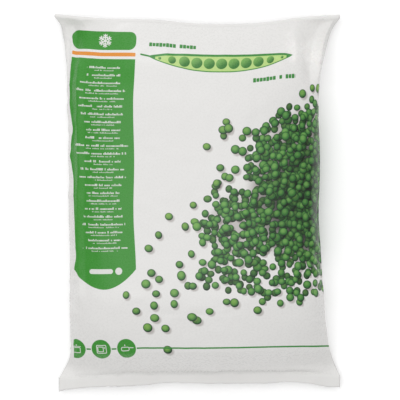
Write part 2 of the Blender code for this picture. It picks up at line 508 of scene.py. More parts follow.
@dataclass(frozen=True)
class FilmRelief:
    """What thin film adds to the form: folds, puckers and ripples, in metres."""

    form: FilmForm
    first_seed: int = 11
    cut_seed: int = 41
    seal_seed: int = 31
    folds: tuple[Fold, ...] = (
        # the hollow beside the right ear
        Fold(
            ((0.2560, 0.3640), (0.2570, 0.3450), (0.2600, 0.3200), (0.2640, 0.3000)),
            0.0070, -0.0020, FoldShape.ROUND,
        ),
        # the left side: a crest along the edge, one along the print's edge and a bend further in
        Fold(
            ((0.0040, 0.3700), (0.0020, 0.3300), (0.0010, 0.3000), (0.0060, 0.2640), (0.0005, 0.2400),
             (0.0050, 0.2060), (0.0070, 0.1650), (0.0060, 0.1270), (0.0040, 0.0900)),
            0.0045, 0.0013, FoldShape.TENT, 0.06,
        ),
        Fold(
            ((0.0095, 0.3560), (0.0080, 0.3300), (0.0065, 0.3000), (0.0120, 0.2620), (0.0048, 0.2410),
             (0.0120, 0.2060), (0.0150, 0.1650), (0.0138, 0.1270), (0.0110, 0.1000)),
            0.0040, 0.0012, FoldShape.TENT, 0.06,
        ),
        Fold(
            ((0.0200, 0.3420), (0.0182, 0.3150), (0.0198, 0.2800), (0.0190, 0.2600), (0.0200, 0.2300),
             (0.0194, 0.1900), (0.0182, 0.1420), (0.0180, 0.1220), (0.0200, 0.0800)),
            0.0085, 0.0023, FoldShape.TENT, 0.08,
        ),
        # the left ear's rolled edge
        Fold(((0.0110, 0.3740), (0.0150, 0.3560), (0.0130, 0.3400)), 0.0060, -0.0018, FoldShape.ROUND),
        Fold(((0.0040, 0.3720), (0.0070, 0.3480)), 0.0045, 0.0014),
        # slanting folds on the right side, below the peas
        Fold(((0.2450, 0.1330), (0.2580, 0.1290), (0.2700, 0.1220)), 0.0045, -0.0018),
        Fold(((0.2480, 0.1270), (0.2600, 0.1210), (0.2720, 0.1120)), 0.0045, 0.0019),
        Fold(((0.2540, 0.1450), (0.2660, 0.1370), (0.2760, 0.1250)), 0.0050, -0.0018),
        Fold(((0.2560, 0.1520), (0.2680, 0.1450), (0.2770, 0.1360)), 0.0040, 0.0014),
        Fold(((0.2600, 0.1000), (0.2720, 0.0900)), 0.0045, -0.0009),
        # the step along the bottom seal's root
        Fold(((0.0060, 0.0142), (0.1400, 0.0140), (0.2740, 0.0142)), 0.0024, -0.0008, fade=0.05),
        Fold(((0.1250, 0.0138), (0.2000, 0.0136), (0.2740, 0.0140)), 0.0022, -0.0008, fade=0.2),
        Fold(((0.1250, 0.0182), (0.2000, 0.0180), (0.2740, 0.0184)), 0.0040, 0.0012, fade=0.2),
        # up from the bottom seal
        Fold(((0.2440, 0.0120), (0.2460, 0.0240), (0.2470, 0.0370)), 0.0032, 0.0007),
        Fold(((0.1680, 0.0140), (0.1730, 0.0260), (0.1770, 0.0390)), 0.0060, -0.0006),
        Fold(((0.1500, 0.0130), (0.1620, 0.0250)), 0.0055, 0.0006),
        Fold(((0.0350, 0.0150), (0.0290, 0.0270), (0.0270, 0.0390)), 0.0050, -0.0008),
        Fold(((0.0900, 0.0130), (0.0840, 0.0270)), 0.0050, 0.0006),
        Fold(((0.2680, 0.0120), (0.2650, 0.0420)), 0.0050, 0.0005),
        Fold(((0.0130, 0.0120), (0.0170, 0.0480)), 0.0050, 0.0005),
        # faint long ones across the front
        Fold(((0.1020, 0.1600), (0.1350, 0.1585), (0.1600, 0.1610)), 0.0030, 0.00022),
        Fold(((0.1150, 0.2950), (0.1600, 0.2990), (0.1900, 0.2970)), 0.0040, 0.00022),
        Fold(((0.0950, 0.0780), (0.1450, 0.0760), (0.1900, 0.0790)), 0.0036, -0.00022),
    )
    pucker_height: float = 0.0011
    pucker_pitch: float = 0.0105
    pucker_length: float = 0.045
    pucker_slant: float = 0.35
    pucker_reach: float = 0.034
    pucker_full: float = 0.006
    pucker_from_edge: float = 0.004
    pucker_turn: float = 0.3
    pucker_middle: float = 0.35
    seal_pucker_height: float = 0.0010
    seal_pucker_pitch: float = 0.017
    seal_pucker_length: float = 0.05
    seal_pucker_reach: float = 0.026
    seal_pucker_middle: float = 0.4
    ripple_height: float = 0.00030
    ripple_size: tuple[float, float] = (0.034, 0.052)
    crumple_height: float = 0.00024
    crumple_size: tuple[float, float] = (0.031, 0.047)
    crumple_slant: tuple[float, float] = (0.4, 0.3)
    crumple_middle: float = 0.3
    edge_crease_height: float = 0.0006
    edge_crease_pitch: float = 0.0030
    edge_crease_length: float = 0.030
    edge_crease_wander: float = 0.6
    edge_crease_drift: tuple[float, float] = (0.02, 0.03)
    edge_crease_reach: float = 0.019
    edge_crease_full: float = 0.010
    pea_bump_height: float = 0.00022
    pea_pitch: float = 0.0085
    side_fade: float = 0.03
    seal_fade: float = 0.012
    seam_place: float = 0.420
    groove_depth: float = 0.0006
    groove_width: float = 0.0016
    groove_from_seam: float = 0.0075
    cut_waves: tuple[tuple[float, float, float], ...] = ((0.0005, 0.009, 0.5), (0.0003, 0.0035, 4.5))
    long_wave: tuple[float, float] = (0.0011, 0.026)
    short_wave: tuple[float, float] = (0.0006, 0.011)
    wave_depth: float = 0.02
    root_wave: float = 0.35

    def lift(self, u: np.ndarray, v: np.ndarray) -> np.ndarray:
        """How far the film stands off the form, along its normal.

        Args:
            u: Places round the tube.
            v: Places along the tube.

        Returns:
            The lift in metres.
        """
        width, length = self.form.film_width, self.form.film_length
        total = np.zeros(u.shape)
        for fold in self.folds:
            total += fold.lift(u, v)

        noise = [Noise(self.first_seed + k) for k in range(7)]
        to_seal = np.minimum(v, length - v) - self.form.seal_depth
        to_left = np.minimum(u, 2 * width - u)
        to_right = np.abs(u - width)
        off_seals = smooth_step(0.0, self.side_fade, to_seal)

        # puckers that run in from the two sides, where the film has length to spare
        for away, drawn in ((to_left, noise[0]), (to_right, noise[1])):
            slanted = v + self.pucker_slant * away * drawn.at(v / self.pucker_length, u / self.pucker_turn)
            wave = drawn.ridges(slanted / self.pucker_pitch, away / self.pucker_length)
            wave -= self.pucker_middle
            reach = smooth_step(self.pucker_reach, self.pucker_full, away)
            off_edge = smooth_step(0.0, self.pucker_from_edge, away)
            total += self.pucker_height * wave * reach * off_edge * off_seals

        # fine creases along the left edge
        drift = noise[3].at(u / self.edge_crease_drift[0], v / self.edge_crease_drift[1])
        across = u / self.edge_crease_pitch + self.edge_crease_wander * drift
        creases = noise[6].ridges(across, v / self.edge_crease_length) - self.pucker_middle
        reach = smooth_step(self.edge_crease_reach, self.edge_crease_full, u)
        total += self.edge_crease_height * creases * reach * off_seals

        # puckers that run up from the seals
        gathered = noise[2].ridges(u / self.seal_pucker_pitch, v / self.seal_pucker_length)
        gathered = (gathered - self.seal_pucker_middle) * np.exp(-to_seal / self.seal_pucker_reach)
        total += self.seal_pucker_height * gathered

        # long ripples, crisp creases and the peas inside
        away = smooth_step(0.0, self.seal_fade, to_seal)
        ripple = noise[3].at(u / self.ripple_size[0], v / self.ripple_size[1])
        total += self.ripple_height * ripple * away
        aslant = (u + self.crumple_slant[0] * v) / self.crumple_size[0]
        across = (v - self.crumple_slant[1] * u) / self.crumple_size[1]
        crumples = noise[4].ridges(aslant, across) - self.crumple_middle
        total += self.crumple_height * crumples * away
        bumps = noise[5].at(u / self.pea_pitch, v / self.pea_pitch)
        total += self.pea_bump_height * bumps * away

        # the seam up the back lies flat, between two shallow grooves
        beside = (np.abs(u - self.seam_place) - self.groove_from_seam) / self.groove_width
        total -= self.groove_depth * np.exp(-(beside**2)) * away
        return total

    def cut_wave(self, u: np.ndarray) -> np.ndarray:
        """How far the bottom cut strays from its line, as the crimped seal is uneven.

        Args:
            u: Places across the front, from the left crease.

        Returns:
            The distance outward in metres.
        """
        noise = Noise(self.cut_seed)
        return sum(high * noise.at(u / size, row + 0.0 * u) for high, size, row in self.cut_waves)

    def seal_wave(self, u: np.ndarray, outward: np.ndarray, end: int) -> np.ndarray:
        """How far a seal and the film next to it stand up or down.

        Args:
            u: Places across the front, from the left crease.
            outward: Distance out from the seal's root, less than zero on the body.
            end: 0 for the bottom seal, 1 for the top one.

        Returns:
            The rise in metres.
        """
        noise = Noise(self.seal_seed + end)
        (high, size), (low, fine) = self.long_wave, self.short_wave
        along = high * noise.at(u / size, 0.5 + 0.0 * u)
        along += low * noise.at(u / fine, 3.5 + outward / self.wave_depth)
        gained = (1.0 - self.root_wave) * np.maximum(outward, 0.0) / self.form.seal_depth
        on_body = np.exp(-((np.minimum(outward, 0.0) / self.seal_fade) ** 2))
        return along * (self.root_wave + gained) * on_body


def fill(node: bpy.types.Node, **values: "float | tuple[float, ...]") -> None:
    """Sets a node's inputs to plain values, by name with _ for a space."""
    for name, value in values.items():
        node.inputs[name.replace("_", " ")].default_value = value


def placed(name: str, data: bpy.types.ID, place: Point = (0.0, 0.0, 0.0)) -> bpy.types.Object:
    """A new object in the scene.

    Args:
        name: Its name.
        data: Its mesh, lamp or camera.
        place: Where it stands.

    Returns:
        The object.
    """
    made = bpy.data.objects.new(name, data)
    made.location = place
    bpy.context.scene.collection.objects.link(made)
    return made


class Sheet:
    """A node tree that fields of colour and value are written into."""

    ROW = 24
    SPACING = (220, -190)

    def __init__(self, tree: bpy.types.NodeTree) -> None:
        """Keeps the tree.

        Args:
            tree: The material's or the group's node tree.
        """
        self.tree = tree
        self.made = 0

    def node(self, kind: str) -> bpy.types.Node:
        """A new node, set out in rows so that the tree can be read.

        Args:
            kind: The node's type name.

        Returns:
            The node.
        """
        made = self.tree.nodes.new(kind)
        row, column = divmod(self.made, self.ROW)
        made.location = (self.SPACING[0] * column, self.SPACING[1] * row)
        self.made += 1
        return made

    def put(self, value: "Field | float | Colour", socket: bpy.types.NodeSocket) -> None:
        """Links a field to a socket, or sets a plain value there.

        Args:
            value: The field or the plain value.
            socket: The socket that gets it.
        """
        if isinstance(value, Field):
            self.tree.links.new(value.socket, socket)
        else:
            socket.default_value = value

    def math(self, operation: str, *values: "Field | float") -> "Field":
        """A field worked out from others.

        Args:
            operation: The math node's operation.
            values: Its inputs.

        Returns:
            The result.
        """
        made = self.node("ShaderNodeMath")
        made.operation = operation
        for value, socket in zip(values, made.inputs):
            self.put(value, socket)
        return Field(self, made.outputs[0])

    def split(self, vector: "Field") -> "tuple[Field, Field, Field]":
        """The three parts of a vector."""
        made = self.node("ShaderNodeSeparateXYZ")
        self.put(vector, made.inputs[0])
        return tuple(Field(self, socket) for socket in made.outputs)

    def join(self, *parts: "Field | float") -> "Field":
        """A vector from its parts."""
        made = self.node("ShaderNodeCombineXYZ")
        for part, socket in zip(parts, made.inputs):
            self.put(part, socket)
        return Field(self, made.outputs[0])

    def chance(self, *parts: "Field | float") -> "tuple[Field, Field, Field, Field]":
        """Four random numbers, 0 to 1, that depend on the parts alone."""
        made = self.node("ShaderNodeTexWhiteNoise")
        made.noise_dimensions = "3D"
        self.put(self.join(*parts), made.inputs["Vector"])
        return *self.split(Field(self, made.outputs["Color"])), Field(self, made.outputs["Value"])

    def mix(
        self, below: "Field | Colour", above: "Field | Colour", share: "Field | float"
    ) -> "Field":
        """One colour laid over another.

        Args:
            below: The colour below.
            above: The colour above.
            share: How much of the one above shows.

        Returns:
            The mixed colour.
        """
        made = self.node("ShaderNodeMix")
        made.data_type = "RGBA"
        colours = [socket for socket in made.inputs if socket.type == "RGBA"]
        for colour, socket in zip((below, above), colours):
            self.put(colour if isinstance(colour, Field) else (*colour, 1.0), socket)
        self.put(share, made.inputs["Factor"])
        return Field(self, next(socket for socket in made.outputs if socket.type == "RGBA"))

    def darken(self, below: "Field | Colour", tint: Colour, share: "Field | float") -> "Field":
        """A colour multiplied by a tint.

        Args:
            below: The colour below.
            tint: What it is multiplied by.
            share: How much of that shows.

        Returns:
            The darkened colour.
        """
        darkened = self.mix(below, tint, share)
        darkened.socket.node.blend_type = "MULTIPLY"
        return darkened

    def group(
        self, tree: bpy.types.NodeTree, **values: "Field | float | Colour"
    ) -> "dict[str, Field]":
        """A node group placed here.

        Args:
            tree: The group's tree.
            values: What its inputs get, by name with _ for a space.

        Returns:
            Its outputs by name.
        """
        made = self.node("ShaderNodeGroup")
        made.node_tree = tree
        for name, value in values.items():
            socket = made.inputs[name.replace("_", " ")]
            if socket.type == "RGBA" and isinstance(value, tuple):
                value = (*value, 1.0)
            self.put(value, socket)
        return {socket.name: Field(self, socket) for socket in made.outputs}


def written(operation: str, turned: bool = False) -> "Callable[..., Field]":
    """A method of a field that writes one math node.

    Args:
        operation: The math node's operation.
        turned: Whether the field itself comes second.

    Returns:
        The method.
    """

    def method(field: "Field", *others: "Field | float") -> "Field":
        """Writes the node."""
        values = (*others, field) if turned else (field, *others)
        return field.sheet.math(operation, *values)

    return method


@dataclass(frozen=True)
class Field:
    """A value, vector or colour that changes over the film, as a socket.

    `least` and `most` give the smaller and the larger of two, and `over` gives 1 where the field
    is more than the other and 0 elsewhere.
    """

    sheet: Sheet
    socket: bpy.types.NodeSocket

    __add__ = __radd__ = written("ADD")
    __sub__, __rsub__ = written("SUBTRACT"), written("SUBTRACT", turned=True)
    __mul__ = __rmul__ = written("MULTIPLY")
    __truediv__, __rtruediv__ = written("DIVIDE"), written("DIVIDE", turned=True)
    __pow__ = written("POWER")
    __abs__ = written("ABSOLUTE")
    floor = written("FLOOR")
    root = written("SQRT")
    sine = written("SINE")
    cosine = written("COSINE")
    least = written("MINIMUM")
    most = written("MAXIMUM")
    over = written("GREATER_THAN")

    def rise(self, low: float, high: float) -> "Field":
        """0 below low, 1 above high and a smooth rise between them.

        Args:
            low: Where the rise starts. It may be more than high, and then this falls.
            high: Where it ends.

        Returns:
            The share.
        """
        made = self.sheet.node("ShaderNodeMapRange")
        made.interpolation_type = "SMOOTHSTEP"
        self.sheet.put(self, made.inputs["Value"])
        start, end, first, last = (low, high, 0.0, 1.0) if low < high else (high, low, 1.0, 0.0)
        fill(made, From_Min=start, From_Max=end, To_Min=first, To_Max=last)
        return Field(self.sheet, made.outputs["Result"])


EDGE = 0.00012  # half of the soft edge of a printed shape, in metres


def inside(distance: Field, soft: float = EDGE) -> Field:
    """1 inside a shape and 0 outside it, from the distance to its edge."""
    return distance.rise(soft, -soft)


def disc(x: Field, y: Field, radius: "Field | float") -> Field:
    """Distance to a disc's edge, less than zero inside."""
    return (x * x + y * y).root() - radius


def block(
    x: Field, y: Field, half_width: "Field | float", half_height: "Field | float", radius: float
) -> Field:
    """Distance to the edge of a block with round corners, less than zero inside.

    Args:
        x: Distance right of the block's middle.
        y: Distance above it.
        half_width: Half of its width.
        half_height: Half of its height.
        radius: Its corners' radius.

    Returns:
        The distance.
    """
    beyond_x = (abs(x) - (half_width - radius)).most(0.0)
    beyond_y = (abs(y) - (half_height - radius)).most(0.0)
    return (beyond_x * beyond_x + beyond_y * beyond_y).root() - radius


def new_group(
    name: str, inputs: Iterable[tuple[str, str]], outputs: Iterable[tuple[str, str]]
) -> Sheet:
    """A node group with named sockets.

    Args:
        name: The group's name.
        inputs: Names and socket types of its inputs.
        outputs: Names and socket types of its outputs.

    Returns:
        The sheet of its tree.
    """
    tree = bpy.data.node_groups.new(name, "ShaderNodeTree")
    for in_out, sockets in (("INPUT", inputs), ("OUTPUT", outputs)):
        for socket_name, kind in sockets:
            tree.interface.new_socket(socket_name, in_out=in_out, socket_type=f"NodeSocket{kind}")
    return Sheet(tree)


def group_inputs(sheet: Sheet) -> dict[str, Field]:
    """A group's inputs as fields, by name."""
    made = sheet.node("NodeGroupInput")
    return {socket.name: Field(sheet, socket) for socket in made.outputs if socket.name}


def group_outputs(sheet: Sheet, **values: "Field") -> bpy.types.NodeTree:
    """Links a group's outputs and gives back its tree."""
    made = sheet.node("NodeGroupOutput")
    for name, value in values.items():
        sheet.put(value, made.inputs[name.replace("_", " ")])
    return sheet.tree


@dataclass(frozen=True)
class Inks:
    """The print's colours, and the film's own white."""

    film: Colour = linear(221, 220, 218)
    green: Colour = linear(58, 138, 48)
    deep_green: Colour = linear(58, 132, 58)
    orange: Colour = linear(216, 138, 54)
    pod_light: Colour = linear(178, 206, 128)
    pea_pale: Colour = linear(140, 176, 78)
    pea_light: Colour = linear(112, 164, 84)
    pea_mid: Colour = linear(58, 116, 54)
    pea_dark: Colour = linear(28, 56, 34)
    gap: Colour = linear(28, 36, 28)
    shadow: Colour = linear(176, 168, 164)


@dataclass(frozen=True)
class Oval:
    """A soft-edged oval on the film, in metres."""

    u: float
    v: float
    half_u: float
    half_v: float
    full: float
    none: float
    share: float

    def at(self, u: Field, v: Field) -> Field:
        """Its share: the most within `full` of its middle, and none past `none`, in half widths."""
        x, y = (u - self.u) / self.half_u, (v - self.v) / self.half_v
        return (x * x + y * y).root().rise(self.none, self.full) * self.share


@dataclass(frozen=True)
class PeaLayer:
    """One layer of the scatter: how close its peas lie and how they are toned.

    Its grid has cells of the size `cell`, turned by `turn`. A pea strays in its cell by `wander`,
    its radius is `size` with a `spread`, and it shows by `tone` over a shadow. A cell holds a pea
    where the density times `share` is over a random number plus `least`.
    """

    cell: float
    turn: float
    seed: float
    wander: float
    size: float
    spread: float
    tone: float
    shadow: float
    share: float
    least: float

    def values(self) -> dict[str, float]:
        """The layer's values by the names of its group's inputs."""
        return {field.name.capitalize(): getattr(self, field.name) for field in fields(self)}


@dataclass(frozen=True)
class PeaScatter:
    """Printed peas: a heap at the right that thins out to the left and down."""

    inks: Inks
    radius: float = 0.0040
    ovals: tuple[Oval, ...] = (
        Oval(0.258, 0.200, 0.060, 0.074, 0.76, 1.60, 1.00),
        Oval(0.188, 0.166, 0.040, 0.038, 0.60, 1.60, 0.84),
        Oval(0.190, 0.236, 0.050, 0.052, 0.20, 1.30, 0.42),
        Oval(0.235, 0.108, 0.060, 0.032, 0.20, 1.60, 0.58),
        Oval(0.172, 0.118, 0.036, 0.026, 0.50, 1.50, 0.64),
        Oval(0.122, 0.110, 0.060, 0.056, 0.60, 1.50, 0.34),
    )
    core: Oval = Oval(0.264, 0.192, 0.062, 0.066, 0.50, 1.20, 1.0)
    core_depth: float = 0.20
    clear_left: float = 0.088
    clear_bottom: float = 0.097
    lit: tuple[float, float] = (-0.16, 0.30)
    cast: tuple[float, float] = (0.40, -0.48)
    unevenness: float = 0.16
    tone_spread: float = 0.26
    second_seed: float = 7.3
    shade_fall: float = 0.66
    rim: tuple[float, float] = (1.12, 0.72)
    edge: tuple[float, float] = (1.04, 0.96)
    dark_to_mid: tuple[float, float] = (0.05, 0.58)
    mid_to_light: tuple[float, float] = (0.55, 1.15)
    pale_density: tuple[float, float] = (0.50, 0.10)
    pale_shade: tuple[float, float] = (0.20, 1.0)
    pale_share: float = 0.50
    cast_edge: tuple[float, float] = (1.30, 0.70)
    cell_margin: float = 0.07
    heap_shadow: tuple[float, float] = (0.55, 1.0)
    heap_shadow_share: float = 0.80

    def layers(self) -> tuple[PeaLayer, ...]:
        """The layers, from the lowest up."""
        close, loose = 2.42 * self.radius, 4.9 * self.radius
        return (
            PeaLayer(close, 0.30, 1.7, 0.10, 0.93, 0.16, 0.42, 0.0, 1.85, 0.75),
            PeaLayer(close, 1.10, 4.2, 0.12, 0.93, 0.18, 0.58, 0.0, 1.60, 0.60),
            PeaLayer(loose, 0.55, 9.1, 0.36, 1.04, 0.28, 0.95, 0.62, 0.98, 0.04),
            PeaLayer(close, 0.80, 6.9, 0.12, 0.93, 0.18, 0.76, 0.0, 1.20, 0.38),
            PeaLayer(loose, 1.35, 12.4, 0.36, 1.00, 0.26, 1.00, 0.62, 1.00, 0.02),
            PeaLayer(close, 0.05, 15.8, 0.12, 0.93, 0.18, 0.90, 0.55, 1.10, 0.36),
            PeaLayer(loose, 0.95, 21.3, 0.36, 1.04, 0.26, 1.00, 0.62, 1.00, 0.02),
            PeaLayer(close, 1.32, 33.4, 0.12, 0.93, 0.18, 1.00, 0.55, 1.00, 0.34),
            PeaLayer(loose, 0.20, 27.6, 0.36, 1.04, 0.28, 1.04, 0.62, 0.95, 0.02),
        )

    def density(self) -> bpy.types.NodeTree:
        """The share of places on the film that hold a pea, as a group."""
        sheet = new_group("pea_density", [("Film", "Vector")], [("Share", "Float"), ("Core", "Float")])
        u, v, _ = sheet.split(group_inputs(sheet)["Film"])
        share: Field | None = None
        for oval in self.ovals:
            part = oval.at(u, v)
            share = part if share is None else share.most(part)
        clear = (u - self.clear_left).over(0.0).most((self.clear_bottom - v).over(0.0))
        return group_outputs(sheet, Share=share * clear, Core=self.core.at(u, v))

    def layer(self, density: bpy.types.NodeTree) -> bpy.types.NodeTree:
        """One layer of peas, at most one to a cell of a turned grid, as a group.

        Args:
            density: The group that says how dense the peas are.

        Returns:
            The layer's group.
        """
        numbers = [(field.name.capitalize(), "Float") for field in fields(PeaLayer)]
        inputs = [("Film", "Vector"), ("Below", "Color"), *numbers]
        sheet = new_group("pea_layer", inputs, [("Colour", "Color")])
        given = group_inputs(sheet)
        u, v, _ = sheet.split(given["Film"])
        cell, turn, seed = given["Cell"], given["Turn"], given["Seed"]
        cos, sin = turn.cosine(), turn.sine()
        across, up = (u * cos - v * sin) / cell + seed, (u * sin + v * cos) / cell - seed
        column, row = across.floor(), up.floor()
        one, two, three, _ = sheet.chance(column, row, seed)
        four, five, six, _ = sheet.chance(row, column, seed + self.second_seed)
        place_x = (column + 0.5 + (one - 0.5) * given["Wander"] - seed) * cell
        place_y = (row + 0.5 + (two - 0.5) * given["Wander"] + seed) * cell
        centre_u, centre_v = place_x * cos + place_y * sin, place_y * cos - place_x * sin
        held = sheet.group(density, Film=sheet.join(centre_u, centre_v, 0.0))
        share, core = held["Share"], held["Core"]
        present = (share * given["Share"]).over(three + given["Least"])

        radius = self.radius * (given["Size"] + (four - 0.5) * given["Spread"])
        long = 1.0 + (six - 0.5) * self.unevenness
        x, y = (u - centre_u) / radius * long, (v - centre_v) / (radius * long)
        distance = (x * x + y * y).root()
        light_x, light_y = x - self.lit[0], y - self.lit[1]
        shade = 1.0 - (light_x * light_x + light_y * light_y) * self.shade_fall
        shade = shade * distance.rise(*self.rim) + (five - 0.5) * self.tone_spread
        skin = sheet.mix(self.inks.pea_dark, self.inks.pea_mid, shade.rise(*self.dark_to_mid))
        skin = sheet.mix(skin, self.inks.pea_light, shade.rise(*self.mid_to_light))
        pale = share.rise(*self.pale_density) * shade.rise(*self.pale_shade) * self.pale_share
        skin = sheet.mix(skin, self.inks.pea_pale, pale)
        skin = sheet.mix(self.inks.gap, skin, given["Tone"] - core * self.core_depth)

        # a soft shadow down to the right, which fades out before its cell's edge
        cast = disc(x - self.cast[0], y - self.cast[1], 0.0).rise(*self.cast_edge)
        from_side = (across - column).least(column + 1.0 - across)
        from_side = from_side.least(up - row).least(row + 1.0 - up)
        cast = cast * present * given["Shadow"] * from_side.rise(0.0, self.cell_margin)
        below = sheet.darken(given["Below"], self.inks.shadow, cast)
        colour = sheet.mix(below, skin, distance.rise(*self.edge) * present)
        return group_outputs(sheet, Colour=colour)

    def lay(self, sheet: Sheet, film: Field, below: "Field | Colour") -> Field:
        """Lays the whole scatter over a colour.

        Args:
            sheet: Where the print is written.
            film: The place on the film.
            below: The colour to lay it on.

        Returns:
            The colour with the peas on it.
        """
        density = self.density()
        layer = self.layer(density)
        dense = sheet.group(density, Film=film)
        shaded = dense["Share"].rise(*self.heap_shadow) * self.heap_shadow_share
        colour = sheet.darken(below, self.inks.shadow, shaded)
        colour = sheet.mix(colour, self.inks.gap, dense["Core"])
        for plan in self.layers():
            colour = sheet.group(layer, Film=film, Below=colour, **plan.values())["Colour"]
        return colour


Washes = list[tuple["Field | Colour", Field]]


@dataclass(frozen=True)
class MarkRow:
    """A row of small marks on the panel: its place below the pair's top and its marks' sizes."""

    offset: float
    half_height: float
    pitch: float
    longest: float
    shortest: float
    strength: float
    seed: float


@dataclass(frozen=True)
class BrokenBar:
    """A short bar broken into marks, beside the pod."""

    left: float
    right: float
    middle: float
    half_height: float
    seed: float


@dataclass(frozen=True)
class FrontPrint:
    """The rest of the print: the panel, its head, the rows of marks, the pod and the badges."""

    inks: Inks
    panel_left: float = 0.0145
    panel_right: float = 0.0797
    panel_top: float = 0.3330
    panel_bottom: float = 0.1220
    panel_arc: float = 0.0195
    head_bottom: float = 0.3425
    head_top: float = 0.3620
    head_radius: float = 0.0075
    stripe_bottom: float = 0.3358
    stripe_top: float = 0.3398
    stripe_radius: float = 0.0008
    flake_arm: float = 0.0072
    flake_half: float = 0.00052
    twig_reach: float = 0.0022
    twig_starts: tuple[float, ...] = (0.0026, 0.0046)
    twig_slope: float = 0.70
    twig_scale: float = 0.82
    row_top: float = 0.3262
    row_pitch: float = 0.00783
    row_count: int = 24
    row_shift: float = 0.0005
    mark_rows: tuple[MarkRow, ...] = (
        MarkRow(0.0022, 0.00112, 0.00150, 0.0265, 0.0165, 0.88, 3.1),
        MarkRow(0.0052, 0.00062, 0.00110, 0.0170, 0.0095, 0.72, 8.7),
    )
    short_share: float = 0.62
    tall_from: float = 0.68
    faint_share: float = 0.62
    mark_share: float = 0.44
    mark_gaps: float = 0.15
    mark_height: float = 0.1205
    mark_bar: tuple[float, float, float] = (-0.0035, 0.0125, 0.0024)
    mark_dot: tuple[float, float] = (0.0150, 0.0036)
    mark_ink: float = 0.92
    bars: tuple[BrokenBar, ...] = (
        BrokenBar(0.0895, 0.1400, 0.3492, 0.0021, 5.5),
        BrokenBar(0.1990, 0.2440, 0.3140, 0.0023, 6.5),
    )
    bar_pitch: float = 0.0034
    bar_radius: float = 0.0004
    bar_least: float = 0.75
    bar_spread: float = 0.30
    bar_share: float = 0.43
    bar_gaps: float = 0.12
    line_height: float = 0.0422
    line_half: float = 0.0008
    badge_radius: float = 0.0098
    badge_rim: float = 0.0008
    icon_line: float = 0.00038
    icon_ink: float = 0.90
    badge_places: tuple[float, ...] = (0.0140, 0.0395, 0.0660)
    pod_centre: tuple[float, float] = (0.1664, 0.3330)
    pod_half: tuple[float, float] = (0.0740, 0.0098)
    pod_bend: float = 0.0034
    pod_power: float = 2.3
    pod_fullness: float = 0.72
    pod_wall: float = 0.0021
    pod_inset: float = 0.0004
    mouth_drop: float = 0.0006
    mouth_length: float = 0.90
    pod_soft: float = 0.0002
    pod_pea_pitch: float = 0.0124
    pod_pea_most: float = 0.0056
    pod_pea_least: float = 0.0015
    pod_pea_gap: float = 0.0029
    pod_pea_drop: float = 0.0004
    pod_pea_light: tuple[float, float] = (-0.4, 0.55)
    pod_peas_each_way: int = 5
    stalk_offset: tuple[float, float] = (0.0020, 0.0008)
    stalk_half: tuple[float, float] = (0.0060, 0.0009)
    stalk_slope: float = 0.25

    @property
    def panel_middle(self) -> float:
        """Where the panel's middle line lies."""
        return 0.5 * (self.panel_left + self.panel_right)

    def panel(self, u: Field, v: Field) -> Washes:
        """The green panel with a round foot, its head and its stripe.

        Args:
            u: Place round the tube.
            v: Place along the tube.

        Returns:
            Its inks and where they lie.
        """
        half = 0.5 * (self.panel_right - self.panel_left)
        x = u - self.panel_middle
        part = x / half
        foot = self.panel_bottom - self.panel_arc * (1.0 - part * part).most(0.0)
        edge = (abs(x) - half).most(v - self.panel_top).most(foot - v)
        head_half = 0.5 * (self.head_top - self.head_bottom)
        up = v - (self.head_bottom + head_half)
        head = block(x, up, half, head_half, self.head_radius)
        stripe_half = 0.5 * (self.stripe_top - self.stripe_bottom)
        from_stripe = v - (self.stripe_bottom + stripe_half)
        stripe = block(x, from_stripe, half, stripe_half, self.stripe_radius)
        return [
            (self.inks.green, inside(edge)),
            (self.inks.green, inside(head)),
            (self.inks.orange, inside(stripe)),
            (self.inks.film, self.snowflake(x, up)),
        ]

    def snowflake(self, x: Field, y: Field) -> Field:
        """A plain six-armed snowflake: three bars, each with two pairs of twigs.

        Args:
            x: Distance right of its middle.
            y: Distance above its middle.

        Returns:
            1 on the flake and 0 elsewhere.
        """
        thick = self.flake_half
        nearest: Field | None = None
        for turn in (0.0, math.pi / 3, 2 * math.pi / 3):
            cos, sin = math.cos(turn), math.sin(turn)
            along, off = abs(x * sin + y * cos), abs(x * cos - y * sin)
            bar = block(along, off, self.flake_arm, thick, thick)
            for start in self.twig_starts:
                slanted = abs(along - start - off * self.twig_slope) * self.twig_scale - thick
                bar = bar.least(slanted.most(off - self.twig_reach))
            nearest = bar if nearest is None else nearest.least(bar)
        return inside(nearest)

    def rows(self, u: Field, v: Field) -> Washes:
        """Rows of small marks down the panel, in pairs.

        Args:
            u: Place round the tube.
            v: Place along the tube.

        Returns:
            Their ink and where it lies.
        """
        x = u - (self.panel_middle + self.row_shift)
        down = (self.row_top - v) / self.row_pitch
        row = down.floor()
        within = (down - row) * self.row_pitch
        listed = down.over(0.0) * (float(self.row_count) - down).over(0.0)
        washes = []
        for marks in self.mark_rows:
            wide, _, _, _ = u.sheet.chance(row, marks.seed, 0.5)
            half_width = marks.shortest + wide * (marks.longest - marks.shortest)
            steps = x / marks.pitch
            count = steps.floor()
            gap, weight, rises, _ = u.sheet.chance(count, row, marks.seed)
            taller = rises.over(self.tall_from) * (1.0 - self.short_share)
            tall = marks.half_height * (self.short_share + taller)
            mark = abs(within - marks.offset + tall - marks.half_height) - tall
            half_mark = self.mark_share * marks.pitch
            mark = mark.most(abs((steps - count - 0.5) * marks.pitch) - half_mark)
            shown = inside(mark) * gap.over(self.mark_gaps) * inside(abs(x) - half_width)
            strength = (self.faint_share + weight * (1.0 - self.faint_share)) * marks.strength
            washes.append((self.inks.film, shown * listed * strength))
        return washes

